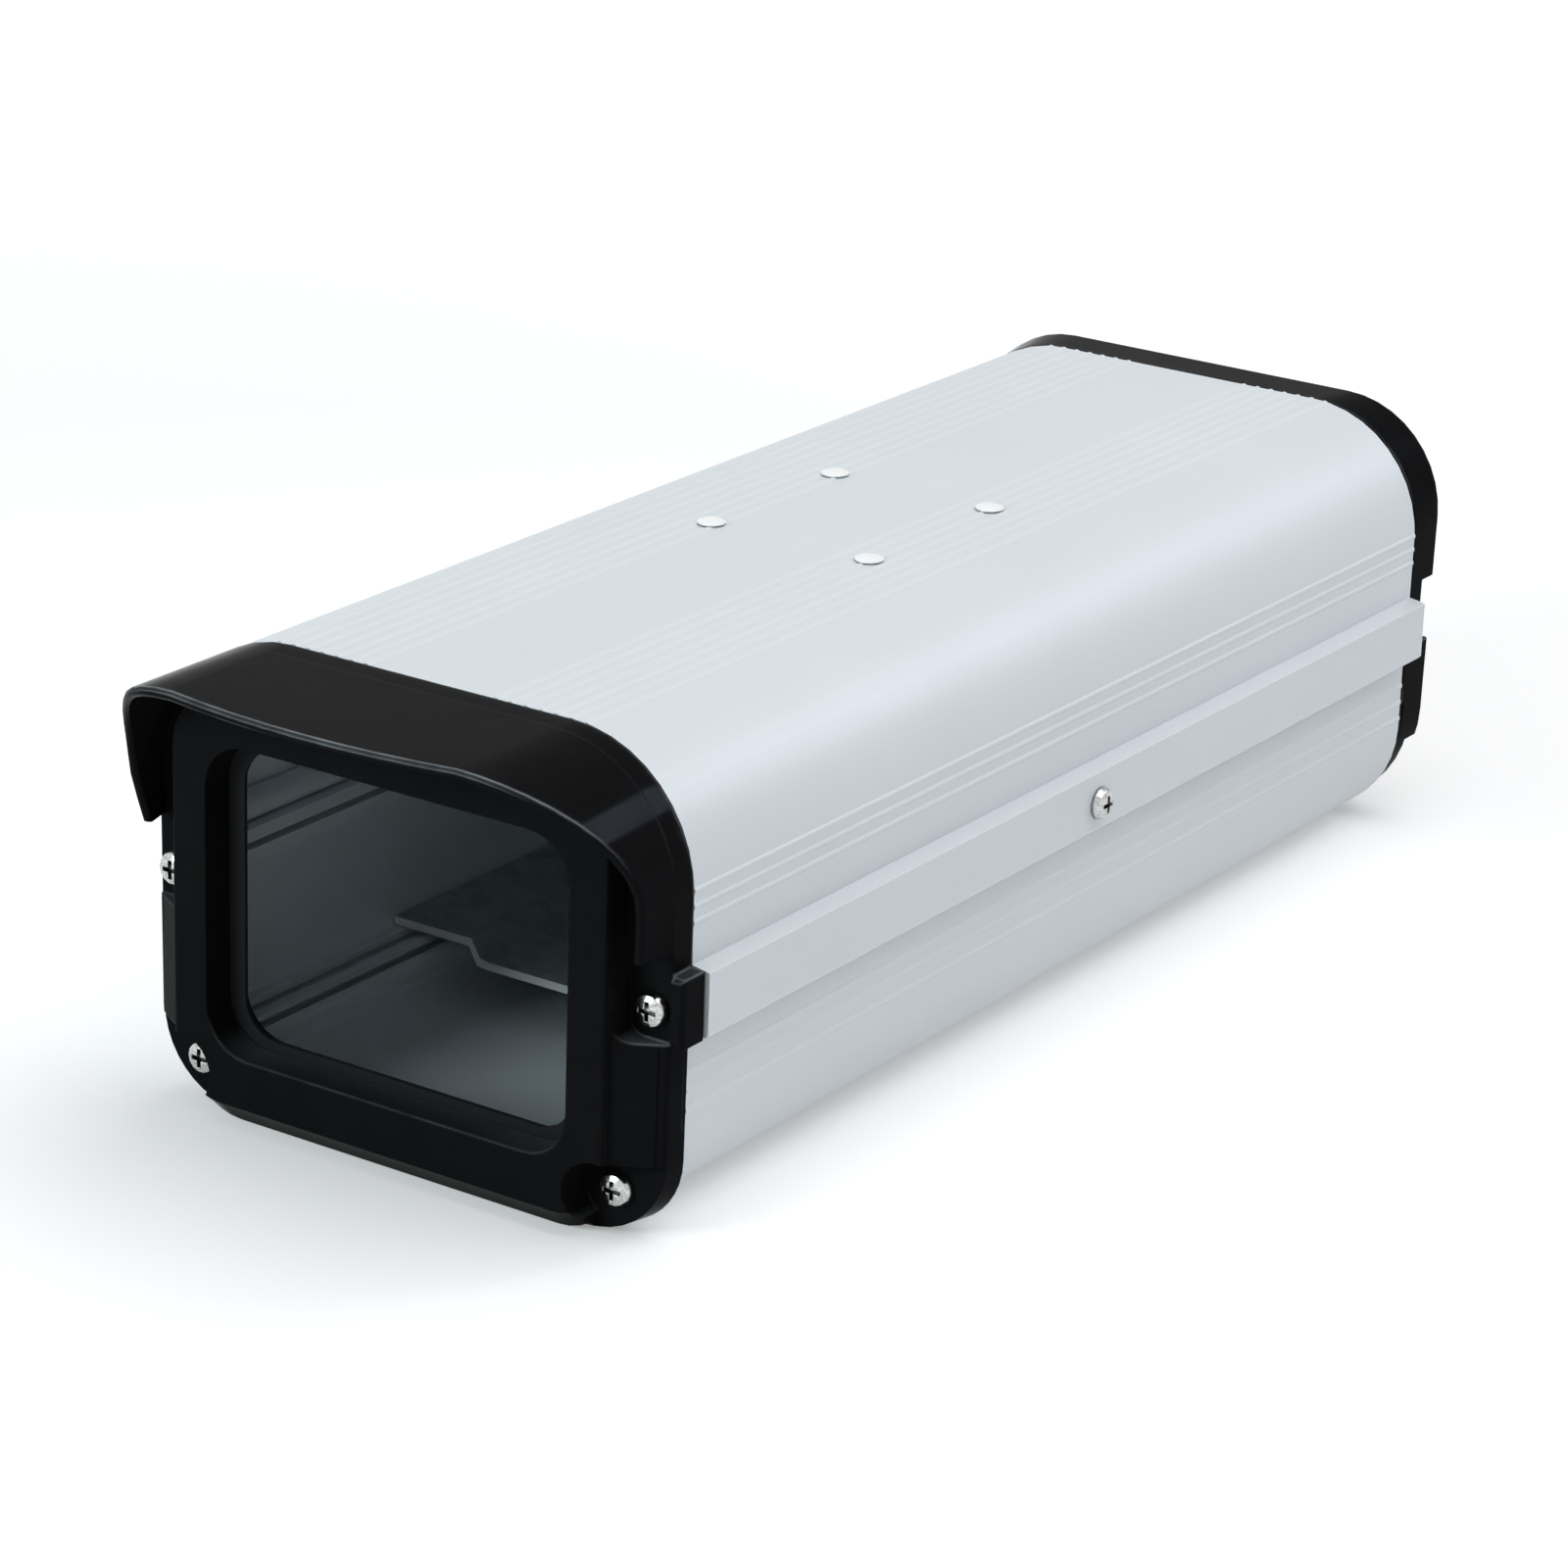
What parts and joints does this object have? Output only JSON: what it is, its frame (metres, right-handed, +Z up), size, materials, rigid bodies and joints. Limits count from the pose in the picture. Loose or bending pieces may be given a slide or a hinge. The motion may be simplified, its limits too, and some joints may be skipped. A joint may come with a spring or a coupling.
{
  "type": "security camera housing",
  "caption": "Outdoor camera housing: ribbed aluminium tray with a side-hinged lid and lock screw, black moulded end covers, a sun hood over the glass window and cable entries behind.",
  "frame": {"origin": "middle of the tray's width at its front end, on the flat underside", "axes": "+X towards the lock screw, +Y towards the cable entries, +Z up; the window faces -Y"},
  "size_m": [0.1473, 0.4001, 0.112],
  "materials": {
    "anodised": "satin silver anodised extrusion",
    "moulding": "gloss black moulding",
    "bright_steel": "bright plated steel",
    "rubber": "matt black seal rubber",
    "sheet": "plain galvanised sheet",
    "nylon": "matt black nylon",
    "glass": "clear flat glass",
    "brass": "plain turned brass"
  },
  "bodies": {
    "housing": {"bracket_bush_front": "brass", "bracket_bush_middle": "brass", "bracket_bush_rear": "brass", "camera_plate": "sheet", "earth_screw": "brass", "front_cover": "moulding", "front_gasket": "rubber", "front_screw_low_left": "bright_steel", "front_screw_low_right": "bright_steel", "front_screw_mid_left": "bright_steel", "front_screw_mid_right": "bright_steel", "gland_body_left": "nylon", "gland_body_right": "nylon", "gland_nut_left": "nylon", "gland_nut_right": "nylon", "gland_seal_left": "rubber", "gland_seal_right": "rubber", "lid_seal": "rubber", "lower_shell": "anodised", "plate_screw_front_left": "bright_steel", "plate_screw_front_right": "bright_steel", "plate_screw_rear_left": "bright_steel", "plate_screw_rear_right": "bright_steel", "rear_cover": "moulding", "rear_gasket": "rubber", "rear_screw_low_left": "bright_steel", "rear_screw_low_right": "bright_steel", "rear_screw_mid_left": "bright_steel", "rear_screw_mid_right": "bright_steel", "window_gasket": "rubber", "window_glass": "glass", "window_retainer": "nylon"},
    "lid": {"upper_shell": "anodised", "top_plug_1": "anodised", "top_plug_2": "anodised", "top_plug_3": "anodised", "top_plug_4": "anodised"},
    "lock_screw": {"lock_screw": "bright_steel"},
    "camera_screw": {"camera_screw": "bright_steel"},
    "left_cap": {"gland_cap_left": "nylon"},
    "right_cap": {"gland_cap_right": "nylon"}
  },
  "joints": [
    {"name": "lid_hinge", "type": "hinge", "parent": "housing", "child": "lid", "pos_m": [-0.0664, 0.1615, 0.0616], "axis": [0, -1, 0], "range_deg": [0, 95]},
    {"name": "lock_screw_out", "type": "slide", "parent": "lid", "child": "lock_screw", "axis": [1, 0, 0], "range_m": [0, 0.006]},
    {"name": "camera_screw_slot", "type": "slide", "parent": "housing", "child": "camera_screw", "axis": [0, 1, 0], "range_m": [-0.07, 0.07]},
    {"name": "left_cap_turn", "type": "hinge", "parent": "housing", "child": "left_cap", "pos_m": [-0.026, 0.346, 0.032], "axis": [0, 1, 0], "continuous": true},
    {"name": "right_cap_turn", "type": "hinge", "parent": "housing", "child": "right_cap", "pos_m": [0.026, 0.346, 0.032], "axis": [0, 1, 0], "continuous": true}
  ]
}
